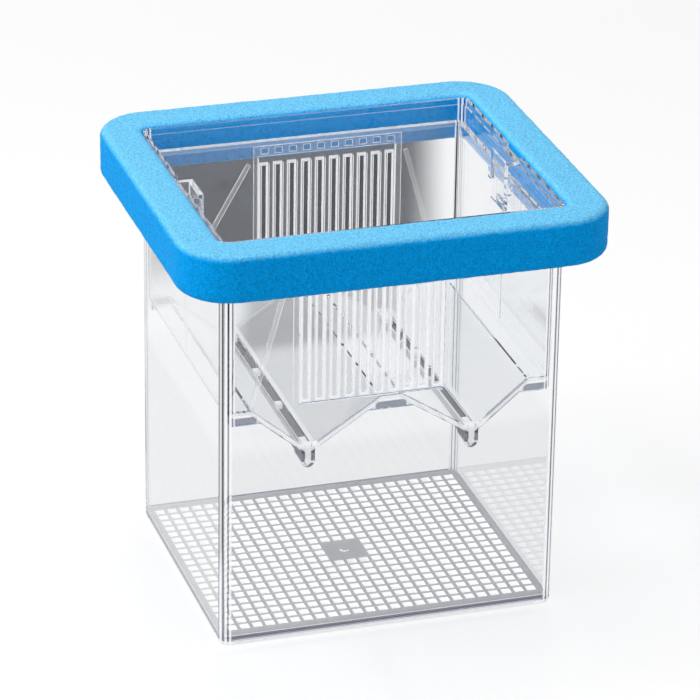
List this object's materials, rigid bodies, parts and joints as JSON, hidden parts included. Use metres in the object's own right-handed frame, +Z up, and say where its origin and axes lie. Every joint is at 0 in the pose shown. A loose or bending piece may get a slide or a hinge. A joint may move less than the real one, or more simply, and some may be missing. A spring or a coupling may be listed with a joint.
{
  "type": "fish breeding box",
  "caption": "Floating fish breeding box: clear tank with a perforated floor, foam float collar, and a hung tray with a W-shaped slit floor and slotted ends.",
  "frame": {"origin": "middle of the footprint, on the face the tank rests on", "axes": "+X to the right along the width, +Y to the rear along the depth, +Z up out of the tank"},
  "size_m": [0.1626, 0.1466, 0.164],
  "materials": {
    "clear_tank": "clear polished plastic",
    "clear_grid": "clear plastic, frosted by its many small holes",
    "blue_foam": "closed-cell foam, fine matt grain",
    "clear_tray": "clear polished plastic",
    "clear_grille": "clear polished plastic, faintly grey",
    "clear_clip": "clear polished plastic"
  },
  "bodies": {
    "tank": {"tank_shell": "clear_tank", "floor_grid": "clear_grid"},
    "collar": {"float_collar": "blue_foam"},
    "tray": {"spawning_tray": "clear_tray", "front_grille": "clear_grille", "rear_grille": "clear_grille", "left_clip": "clear_clip", "right_clip": "clear_clip"}
  },
  "joints": [
    {"name": "collar_lift", "type": "slide", "parent": "tank", "child": "collar", "axis": [0, 0, 1], "range_m": [0, 0.03]},
    {"name": "tray_lift", "type": "slide", "parent": "tank", "child": "tray", "axis": [0, 0, 1], "range_m": [0, 0.1]}
  ]
}
